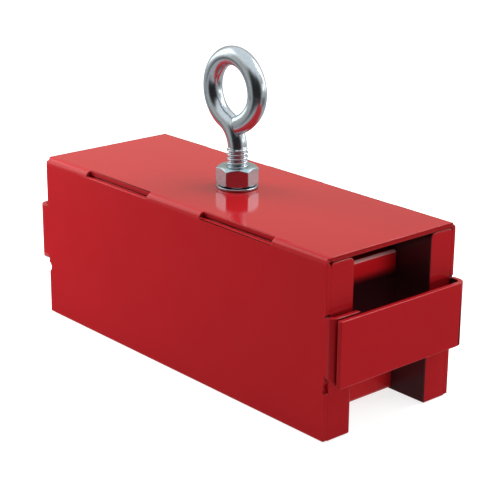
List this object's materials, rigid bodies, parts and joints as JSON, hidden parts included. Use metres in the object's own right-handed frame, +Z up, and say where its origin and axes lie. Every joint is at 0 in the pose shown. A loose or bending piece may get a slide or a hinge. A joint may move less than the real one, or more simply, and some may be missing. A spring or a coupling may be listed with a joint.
{
  "type": "lifting magnet",
  "caption": "Box-shaped permanent lifting magnet: ferrite blocks between steel pole plates in a folded red steel cover, with a swivelling eyebolt on top.",
  "frame": {"origin": "on the plane of the pole faces, under the middle of the body and the eyebolt's axis", "axes": "+Z up through the eyebolt, +X along the body's length, +Y across it towards the rear pole plate"},
  "size_m": [0.1372, 0.0492, 0.0934],
  "materials": {
    "red_enamel": "glossy red baked enamel on folded sheet steel",
    "red_enamel_plate": "glossy red baked enamel on rolled flat steel bar",
    "painted_ferrite": "red enamel over pressed and ground ferrite",
    "bright_zinc": "bright zinc plating on formed steel wire and turned nuts",
    "dull_zinc": "zinc plating on stamped spring steel"
  },
  "bodies": {
    "magnet_body": {"cover": "red_enamel", "front_pole_plate": "red_enamel_plate", "rear_pole_plate": "red_enamel_plate", "front_magnet_1": "painted_ferrite", "front_magnet_2": "painted_ferrite", "front_magnet_3": "painted_ferrite", "front_magnet_4": "painted_ferrite", "middle_magnet_1": "painted_ferrite", "middle_magnet_2": "painted_ferrite", "middle_magnet_3": "painted_ferrite", "middle_magnet_4": "painted_ferrite", "rear_magnet_1": "painted_ferrite", "rear_magnet_2": "painted_ferrite", "rear_magnet_3": "painted_ferrite", "rear_magnet_4": "painted_ferrite"},
    "lifting_eye": {"eyebolt": "bright_zinc", "inner_washer": "dull_zinc", "inner_nut": "bright_zinc"},
    "lock_washer": {"lock_washer": "dull_zinc"},
    "lock_nut": {"lock_nut": "bright_zinc"}
  },
  "joints": [
    {"name": "eye_swivel", "type": "hinge", "parent": "magnet_body", "child": "lifting_eye", "pos_m": [0, 0, 0.0518], "axis": [0, 0, 1], "continuous": true},
    {"name": "lock_nut_turn", "type": "hinge", "parent": "lifting_eye", "child": "lock_washer", "pos_m": [0, 0, 0.05225], "axis": [0, 0, 1], "range_deg": [0, 1080]},
    {"name": "lock_nut_rise", "type": "slide", "parent": "lock_washer", "child": "lock_nut", "axis": [0, 0, 1], "range_m": [0, 0.00382]}
  ],
  "couplings": [
    {"joint": "lock_nut_rise", "follows": "lock_nut_turn", "m_per_rad": 0.00020213}
  ]
}
